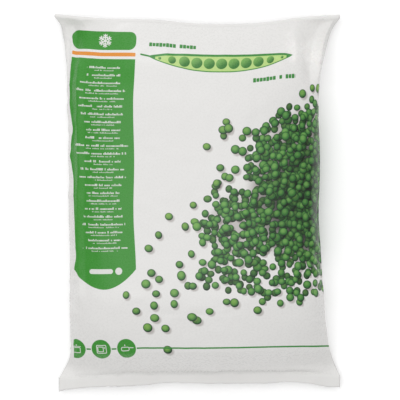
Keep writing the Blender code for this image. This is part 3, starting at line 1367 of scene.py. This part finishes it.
    def panel_mark(self, u: Field, v: Field) -> Washes:
        """A plain white bar and a dot at the foot of the panel.

        Args:
            u: Place round the tube.
            v: Place along the tube.

        Returns:
            Their ink and where it lies.
        """
        x, y = u - self.panel_middle, v - self.mark_height
        (bar_x, half_width, half_height), (dot_x, radius) = self.mark_bar, self.mark_dot
        bar = block(x - bar_x, y, half_width, half_height, half_height)
        dot = disc(x - dot_x, y, radius)
        return [(self.inks.film, inside(bar.least(dot)) * self.mark_ink)]

    def taper(self, part: Field) -> Field:
        """How high the pod is at a share of its half length, as a share of its height."""
        return (1.0 - abs(part) ** self.pod_power).most(0.0) ** self.pod_fullness

    def pod(self, u: Field, v: Field) -> Washes:
        """An open pea pod across the upper part of the front.

        Args:
            u: Place round the tube.
            v: Place along the tube.

        Returns:
            Its inks and where they lie.
        """
        half_long, half_high = self.pod_half
        x, y = u - self.pod_centre[0], v - self.pod_centre[1]
        part = x / half_long
        reach = half_high * self.taper(part)
        bent = y - self.pod_bend * part * part
        shell = abs(bent) - reach + self.pod_inset
        mouth = abs(bent + self.mouth_drop) - (reach - self.pod_wall)
        mouth = mouth.most(abs(x) - self.mouth_length * half_long)

        # the peas, smaller toward the pod's ends
        pitch = self.pod_pea_pitch
        step = (x / pitch + 0.5).floor()
        place = step * (pitch / half_long)
        size = (self.taper(place) * half_high - self.pod_pea_gap).least(self.pod_pea_most)
        from_pea = x - step * pitch
        over_pea = y - self.pod_bend * place * place + self.pod_pea_drop
        light_x, light_y = self.pod_pea_light
        lit = (from_pea * light_x + over_pea * light_y) / size
        skin = u.sheet.mix(self.inks.pea_mid, self.inks.pea_light, lit.rise(-0.5, 0.6))
        within = (self.pod_peas_each_way + 0.5 - abs(step)).over(0.0)
        listed = within * size.over(self.pod_pea_least)
        pea = inside(disc(from_pea, over_pea, size), self.pod_soft) * listed

        stalk_x = x + half_long + self.stalk_offset[0]
        stalk_y = y - self.pod_bend - self.stalk_offset[1] + stalk_x * self.stalk_slope
        stalk = block(stalk_x, stalk_y, *self.stalk_half, self.stalk_half[1])
        return [
            (self.inks.deep_green, inside(shell, self.pod_soft)),
            (self.inks.pod_light, inside(mouth, self.pod_soft)),
            (skin, pea),
            (self.inks.deep_green, inside(stalk)),
        ]

    def pod_bars(self, u: Field, v: Field) -> Washes:
        """A short broken bar above the pod and one below it.

        Args:
            u: Place round the tube.
            v: Place along the tube.

        Returns:
            Their ink and where it lies.
        """
        pitch = self.bar_pitch
        washes = []
        for bar in self.bars:
            steps = (u - bar.left) / pitch
            count = steps.floor()
            gap, weight, _, _ = u.sheet.chance(count, bar.seed, 0.5)
            tall = bar.half_height * (self.bar_least + weight * self.bar_spread)
            tall = tall.most(self.bar_radius)
            x = (steps - count - 0.5) * pitch
            mark = inside(block(x, v - bar.middle, self.bar_share * pitch, tall, self.bar_radius))
            between = (u - bar.left).least(bar.right - u)
            shown = mark * gap.over(self.bar_gaps) * between.over(0.0)
            washes.append((self.inks.deep_green, shown))
        return washes

    def foot_line(self, u: Field, v: Field) -> Washes:
        """The thin green line round the foot and its three round badges.

        Args:
            u: Place round the tube.
            v: Place along the tube.

        Returns:
            Their inks and where they lie.
        """
        y = v - self.line_height
        line = inside(abs(y) - self.line_half) * (u - self.badge_places[0]).over(0.0)
        washes = [(self.inks.deep_green, line)]
        for place, icon in zip(self.badge_places, (self.pot, self.oven, self.pan)):
            x = u - place
            badge = disc(x, y, self.badge_radius)
            washes += [
                (self.inks.film, inside(badge - self.badge_rim)),
                (self.inks.green, inside(badge)),
                (self.inks.film, icon(x, y) * self.icon_ink),
            ]
        return washes

    def outline(self, distance: Field) -> Field:
        """1 on a thin line along a shape's edge."""
        return inside(abs(distance) - self.icon_line)

    def pot(self, x: Field, y: Field) -> Field:
        """A cooking pot with a lid."""
        body = block(x, y + 0.0012, 0.0044, 0.0026, 0.0008)
        lid = block(x, y - 0.0026, 0.0052, 0.0003, 0.0003)
        knob = disc(x, y - 0.0040, 0.0007)
        return self.outline(body).most(inside(lid.least(knob)))

    def oven(self, x: Field, y: Field) -> Field:
        """A square oven with a window."""
        case = block(x, y, 0.0048, 0.0040, 0.0008)
        window = block(x + 0.0010, y, 0.0028, 0.0024, 0.0005)
        knob = disc(x - 0.0033, y - 0.0014, 0.0006)
        return self.outline(case).most(self.outline(window)).most(inside(knob))

    def pan(self, x: Field, y: Field) -> Field:
        """A flat pan with a handle."""
        bowl = block(x + 0.0014, y + 0.0006, 0.0040, 0.0018, 0.0014)
        handle = block(x - 0.0050, y - 0.0006, 0.0024, 0.0004, 0.0004)
        steam = block(x + 0.0014, y - 0.0032, 0.0004, 0.0010, 0.0004)
        return self.outline(bowl).most(inside(handle.least(steam)))

    def group(self, scatter: PeaScatter) -> bpy.types.NodeTree:
        """The whole print as one group.

        Args:
            scatter: The printed peas.

        Returns:
            The group's tree, from a place on the film to its colour.
        """
        sheet = new_group("bag_print", [("Film", "Vector")], [("Colour", "Color")])
        film = group_inputs(sheet)["Film"]
        u, v, _ = sheet.split(film)
        colour = scatter.lay(sheet, film, self.inks.film)
        shapes = (self.panel, self.rows, self.panel_mark, self.pod, self.pod_bars, self.foot_line)
        for shape in shapes:
            for ink, share in shape(u, v):
                colour = sheet.mix(colour, ink, share)
        return group_outputs(sheet, Colour=colour)


@dataclass(frozen=True)
class FilmFinish:
    """Printed polyethylene film: its gloss and its finest relief."""

    roughness: float = 0.28
    specular: float = 0.34
    grain_size: float = 0.0022
    grain_depth: float = 0.00001
    grain_detail: float = 3.0
    grain_fineness: float = 0.55
    grain_roughness: float = 0.16
    seal_grain: float = 9.0
    seal_roughness: float = 0.06
    seal_edge: float = 0.0008
    crimp_pitch: float = 0.0013
    crimp_depth: float = 0.000025

    def grain(self) -> bpy.types.NodeTree:
        """Fine unevenness of film, as a group: a height over the surface."""
        sheet = new_group("film_grain", [("Place", "Vector"), ("Size", "Float")], [("Height", "Float")])
        given = group_inputs(sheet)
        made = sheet.node("ShaderNodeTexNoise")
        fill(made, Detail=self.grain_detail, Roughness=self.grain_fineness)
        sheet.put(given["Place"], made.inputs["Vector"])
        sheet.put(1.0 / given["Size"], made.inputs["Scale"])
        return group_outputs(sheet, Height=Field(sheet, made.outputs[0]) - 0.5)

    def material(self, form: FilmForm, printed: bpy.types.NodeTree) -> bpy.types.Material:
        """The film's material.

        Args:
            form: The film's sizes.
            printed: The group of its print.

        Returns:
            The material.
        """
        material = bpy.data.materials.new("printed_film")
        material.use_nodes = True
        sheet = Sheet(material.node_tree)
        shader = material.node_tree.nodes["Principled BSDF"]
        fill(shader, Specular_IOR_Level=self.specular, Metallic=0.0)
        uv = sheet.node("ShaderNodeUVMap")
        uv.uv_map = "film"
        film = Field(sheet, uv.outputs[0])
        u, v, _ = sheet.split(film)
        sheet.put(sheet.group(printed, Film=film)["Colour"], shader.inputs["Base Color"])

        coordinates = sheet.node("ShaderNodeTexCoord")
        place = Field(sheet, coordinates.outputs["Object"])
        grain = sheet.group(self.grain(), Place=place, Size=self.grain_size)["Height"]
        to_end = v.least(form.film_length - v)
        seal = to_end.rise(form.seal_depth, form.seal_depth - self.seal_edge)
        turns = 2 * math.pi / self.crimp_pitch
        crimp = (v * turns).sine() * (u * turns).sine()
        height = grain * self.grain_depth * (1.0 + seal * self.seal_grain)
        height = height + crimp * seal * self.crimp_depth
        bump = sheet.node("ShaderNodeBump")
        fill(bump, Distance=1.0, Strength=1.0)
        sheet.put(height, bump.inputs["Height"])
        material.node_tree.links.new(bump.outputs[0], shader.inputs["Normal"])
        roughness = self.roughness + grain * self.grain_roughness + seal * self.seal_roughness
        sheet.put(roughness, shader.inputs["Roughness"])
        return material


@dataclass(frozen=True)
class SealStep:
    """A ring of a seal: how far outward and up from the root, its tilt, and how far along the film."""

    outward: float = 0.0
    up: float = 0.0
    tilt: float = 0.0
    travelled: float = 0.0


@dataclass(frozen=True)
class BagFilm:
    """The bag's film as one closed skin: the front, the back and the two seals."""

    form: FilmForm
    relief: FilmRelief
    tuck: Tuck = Tuck()
    fin: Fin = Fin()
    seal_steps: int = 9
    turn_steps: int = 6
    front_share: float = 0.72
    map_margin: float = 0.004

    def body(self) -> np.ndarray:
        """The body's rings with the film's relief on them."""
        rings = self.form.rings()
        u, v = np.meshgrid(self.form.ring_u(), self.form.ring_v())
        round_tube = np.roll(rings, -1, axis=1) - np.roll(rings, 1, axis=1)
        along = np.gradient(rings, axis=0)
        normals = np.cross(round_tube, along)
        normals /= np.maximum(np.linalg.norm(normals, axis=2, keepdims=True), 1e-12)
        lifted = rings + normals * self.relief.lift(u, v)[:, :, None]

        front_u = np.minimum(u, 2 * self.form.film_width - u)
        past_bottom = self.form.seal_depth - v
        past_top = v - (self.form.film_length - self.form.seal_depth)
        wave = self.relief.seal_wave(front_u, past_bottom, 0)
        wave += self.relief.seal_wave(front_u, past_top, 1)
        lifted[:, :, 2] += wave + self.fin.rise(u, v)
        lifted[:, :, 2] = np.maximum(lifted[:, :, 2], 0.0)
        lifted[0], lifted[-1] = self.root(rings[0], 0), self.root(rings[-1], 1)
        return lifted

    def root(self, ring: np.ndarray, end: int) -> np.ndarray:
        """A seal's root ring, with the seal's wave in it.

        Args:
            ring: The body's ring there.
            end: 0 for the bottom seal, 1 for the top one.

        Returns:
            The waved ring.
        """
        u = self.form.ring_u()
        front_u = np.minimum(u, 2 * self.form.film_width - u)
        waved = ring.copy()
        waved[:, 2] += self.relief.seal_wave(front_u, np.zeros_like(u), end)
        return waved

    def seal(self, root: np.ndarray, steps: list[SealStep], end: int) -> list[np.ndarray]:
        """The rings that carry a seal on from its root.

        Args:
            root: The root ring.
            steps: Where each ring lies.
            end: 0 for the bottom seal, 1 for the top one.

        Returns:
            The rings, from the root outward.
        """
        count = self.form.side_steps
        back_order = [0, *range(len(root) - 1, count - 1, -1)]
        middle = 0.5 * (root[: count + 1] + root[back_order])
        outward_sign = -1.0 if end == 0 else 1.0
        thick = np.ones((count + 1, 1))
        thick[[0, -1]] = 0.0
        u = self.form.ring_u()[: count + 1]
        share = u / self.form.film_width
        depth = np.ones_like(u)
        if end == 0:
            cut = self.form.bottom_root.at(share) - self.form.bottom_edge.at(share)
            depth = (cut + self.relief.cut_wave(u)) / self.form.seal_depth
        rings = []
        for step in steps:
            normal = np.array([0.0, outward_sign * math.sin(step.tilt), math.cos(step.tilt)])
            wave = self.relief.seal_wave(u, np.full_like(u, step.travelled), end)
            wave = wave - self.relief.seal_wave(u, np.zeros_like(u), end)
            centre = middle + wave[:, None] * normal
            centre[:, 1] += outward_sign * step.outward * depth
            centre[:, 2] += step.up * depth
            half = 0.5 * self.form.seal_thickness * thick * normal
            rings.append(np.vstack([centre + half, (centre - half)[-2:0:-1]]))
        return rings

    def straight(self, start: SealStep, tilt: float) -> list[SealStep]:
        """The steps of a seal that runs straight down at a tilt, up to its full depth.

        Args:
            start: Where it starts.
            tilt: Its angle below the level.

        Returns:
            The steps after the start.
        """
        steps = []
        for k in range(1, self.seal_steps + 1):
            run = (self.form.seal_depth - start.travelled) * k / self.seal_steps
            outward, up = start.outward + run * math.cos(tilt), start.up - run * math.sin(tilt)
            steps.append(SealStep(outward, up, tilt, start.travelled + run))
        return steps

    def bottom_steps(self) -> list[SealStep]:
        """The bottom seal hangs out from its root, a little down."""
        return self.straight(SealStep(), self.form.bottom_seal_tilt)

    def top_steps(self) -> list[SealStep]:
        """The top seal turns down over the fold, and then runs straight."""
        radius, angle = self.form.fold_radius, self.form.fold_angle
        steps = []
        for k in range(1, self.turn_steps + 1):
            turned = angle * k / self.turn_steps
            outward, up = radius * math.sin(turned), radius * (math.cos(turned) - 1.0)
            steps.append(SealStep(outward, up, turned, radius * turned))
        return steps + self.straight(steps[-1], angle)

    def faces(self, ring_count: int) -> list[tuple[int, ...]]:
        """Quads between neighbouring rings, and strips that close the two seals' edges.

        Args:
            ring_count: How many rings there are.

        Returns:
            The faces' corners.
        """
        size, count = 2 * self.form.side_steps, self.form.side_steps
        faces: list[tuple[int, ...]] = []
        for r in range(ring_count - 1):
            here, there = r * size, (r + 1) * size
            for k in range(size):
                after = (k + 1) % size
                faces.append((here + k, here + after, there + after, there + k))
        for ring, turned in ((0, True), (ring_count - 1, False)):
            for k in range(count):
                corners = [k, k + 1]
                if k < count - 1:
                    corners.append(size - k - 1)
                if k > 0:
                    corners.append(size - k)
                corners = [ring * size + corner for corner in corners]
                faces.append(tuple(reversed(corners)) if turned else tuple(corners))
        return faces

    def add_maps(self, mesh: bpy.types.Mesh, v_of_ring: np.ndarray) -> None:
        """Writes two maps: places on the film in metres, and one in the unit square for baking.

        Args:
            mesh: The film's mesh.
            v_of_ring: Where each ring lies along the flat film.
        """
        size = 2 * self.form.side_steps
        loops = np.zeros(len(mesh.loops), np.int32)
        mesh.loops.foreach_get("vertex_index", loops)
        column, ring = loops % size, loops // size
        u = self.form.ring_u()[column]
        starts = np.zeros(len(mesh.polygons), np.int32)
        totals = np.zeros(len(mesh.polygons), np.int32)
        mesh.polygons.foreach_get("loop_start", starts)
        mesh.polygons.foreach_get("loop_total", totals)
        face_of_loop = np.repeat(np.arange(len(starts)), totals)
        back_face = np.zeros(len(starts), bool)
        back_face[face_of_loop[column > self.form.side_steps]] = True
        on_back = back_face[face_of_loop]
        u = np.where(on_back & (column == 0), 2 * self.form.film_width, u)
        v = v_of_ring[ring]
        printed_u = u + self.tuck.shift(u, v) * (u < 0.5 * self.form.film_width)
        film = mesh.uv_layers.new(name="film")
        film.data.foreach_set("uv", np.column_stack([printed_u, v]).ravel())

        margin = self.map_margin
        share = u / self.form.film_width
        front = margin + share * (self.front_share - 2 * margin)
        back_share = 1.0 - self.front_share - 2 * margin
        back = self.front_share + margin + (share - 1.0) * back_share
        baked_v = margin + (1.0 - 2 * margin) * v / self.form.film_length
        bake = mesh.uv_layers.new(name="OFBake")
        baked = np.column_stack([np.where(on_back, back, front), baked_v])
        bake.data.foreach_set("uv", baked.ravel())

    def build(self, material: bpy.types.Material) -> bpy.types.Object:
        """Makes the film.

        Args:
            material: Its material.

        Returns:
            The object.
        """
        body = self.body()
        bottom = self.seal(body[0], self.bottom_steps(), 0)[::-1]
        top = self.seal(body[-1], self.top_steps(), 1)
        rings = bottom + list(body) + top
        depth, length = self.form.seal_depth, self.form.film_length
        v_of_ring = np.concatenate([
            [depth - step.travelled for step in self.bottom_steps()][::-1],
            self.form.ring_v(),
            [length - depth + step.travelled for step in self.top_steps()],
        ])
        mesh = bpy.data.meshes.new("bag_film")
        mesh.from_pydata(np.vstack(rings).tolist(), [], self.faces(len(rings)))
        mesh.materials.append(material)
        self.add_maps(mesh, v_of_ring)
        mesh.shade_smooth()
        return placed("bag_film", mesh)


@dataclass(frozen=True)
class Lamp:
    """A square lamp: its place, its side in metres, its watts, its aim and its beam in degrees."""

    name: str
    place: Point
    size: float
    power: float
    target: Point = (0.0, 0.0, 0.0)
    spread: float = 180.0

    def build(self) -> None:
        """Sets the lamp up."""
        data = bpy.data.lights.new(self.name, "AREA")
        data.size, data.energy, data.spread = self.size, self.power, math.radians(self.spread)
        aim = Vector(self.target) - Vector(self.place)
        made = placed(self.name, data, self.place)
        made.rotation_euler = aim.to_track_quat("-Z", "Y").to_euler()


@dataclass(frozen=True)
class Studio:
    """A pale floor, soft light mostly from the bag's top end, and the camera over the bag."""

    lens: float = 200.0
    sensor: float = 36.0
    clip_end: float = 20.0
    picture: float = 400.0
    scale: float = 0.000979
    middle_x: float = 0.0024
    middle_y: float = 0.0029
    level: float = 0.022
    floor_size: float = 6.0
    floor_drop: float = 0.0002
    floor_white: float = 0.97
    floor_roughness: float = 0.9
    floor_specular: float = 0.1
    floor_glow: float = 0.10
    lamps: tuple[Lamp, ...] = (
        Lamp("overhead", (-0.42, 0.16, 2.20), 2.3, 17.5),
        Lamp("top", (-0.30, 2.00, 0.80), 0.6, 3.5),
        Lamp("accent", (-0.863, 1.315, 1.316), 0.03, 0.0022, (0.119, 0.146, 0.028), 2.0),
    )
    world_strength: float = 0.90
    foot_dim: float = 0.25
    foot_dims: tuple[float, float] = (-0.10, -0.75)
    side_dim: float = 0.45
    side_dims: tuple[float, float] = (0.45, 0.95)

    def camera(self) -> bpy.types.Object:
        """A long lens that looks straight down, as the photo's view of the front."""
        data = bpy.data.cameras.new("camera")
        data.lens, data.sensor_width = self.lens, self.sensor
        width = self.scale * self.picture
        distance = 0.5 * width / (0.5 * self.sensor / self.lens)
        data.clip_end = self.clip_end
        made = placed("camera", data, (self.middle_x, self.middle_y, self.level + distance))
        bpy.context.scene.camera = made
        return made

    def floor(self) -> bpy.types.Object:
        """The plain pale floor."""
        half = 0.5 * self.floor_size
        mesh = bpy.data.meshes.new("floor")
        corners = [(-half, -half, 0.0), (half, -half, 0.0), (half, half, 0.0), (-half, half, 0.0)]
        mesh.from_pydata(corners, [], [(0, 1, 2, 3)])
        material = bpy.data.materials.new("floor_white")
        material.use_nodes = True
        shader = material.node_tree.nodes["Principled BSDF"]
        fill(shader, Base_Color=(*[self.floor_white] * 3, 1.0), Roughness=self.floor_roughness)
        fill(shader, Specular_IOR_Level=self.floor_specular)
        fill(shader, Emission_Color=(1.0, 1.0, 1.0, 1.0), Emission_Strength=self.floor_glow)
        mesh.materials.append(material)
        made = placed("floor", mesh, (0.0, 0.0, -self.floor_drop))
        return made

    def light(self) -> None:
        """The lamps, and the light all round, which is dimmer at the sides and toward the foot."""
        for lamp in self.lamps:
            lamp.build()
        world = bpy.data.worlds.new("studio")
        world.use_nodes = True
        sheet = Sheet(world.node_tree)
        background = world.node_tree.nodes["Background"]
        fill(background, Color=(1.0, 1.0, 1.0, 1.0))
        around = Field(sheet, sheet.node("ShaderNodeTexCoord").outputs["Generated"])
        rightward, toward_top, _ = sheet.split(around)
        dim = toward_top.rise(*self.foot_dims) * self.foot_dim
        dim = dim + abs(rightward).rise(*self.side_dims) * self.side_dim
        sheet.put(self.world_strength - dim, background.inputs["Strength"])
        scene = bpy.context.scene
        scene.world = world
        scene.view_settings.view_transform = "Standard"


def main() -> None:
    """Builds the bag's film, dresses it and sets up the studio."""
    logging.basicConfig(level=logging.INFO, format="%(name)s: %(message)s")
    low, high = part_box("bag")
    form = FilmForm(low=low, high=high)
    inks = Inks()
    printed = FrontPrint(inks).group(PeaScatter(inks))
    material = FilmFinish().material(form, printed)
    film = BagFilm(form, FilmRelief(form)).build(material)
    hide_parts("bag")
    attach(film, "root")
    LOG.info("film: %d faces", len(film.data.polygons))
    studio = Studio()
    studio.camera()
    studio.floor()
    studio.light()


if __name__ == "__main__":
    main()
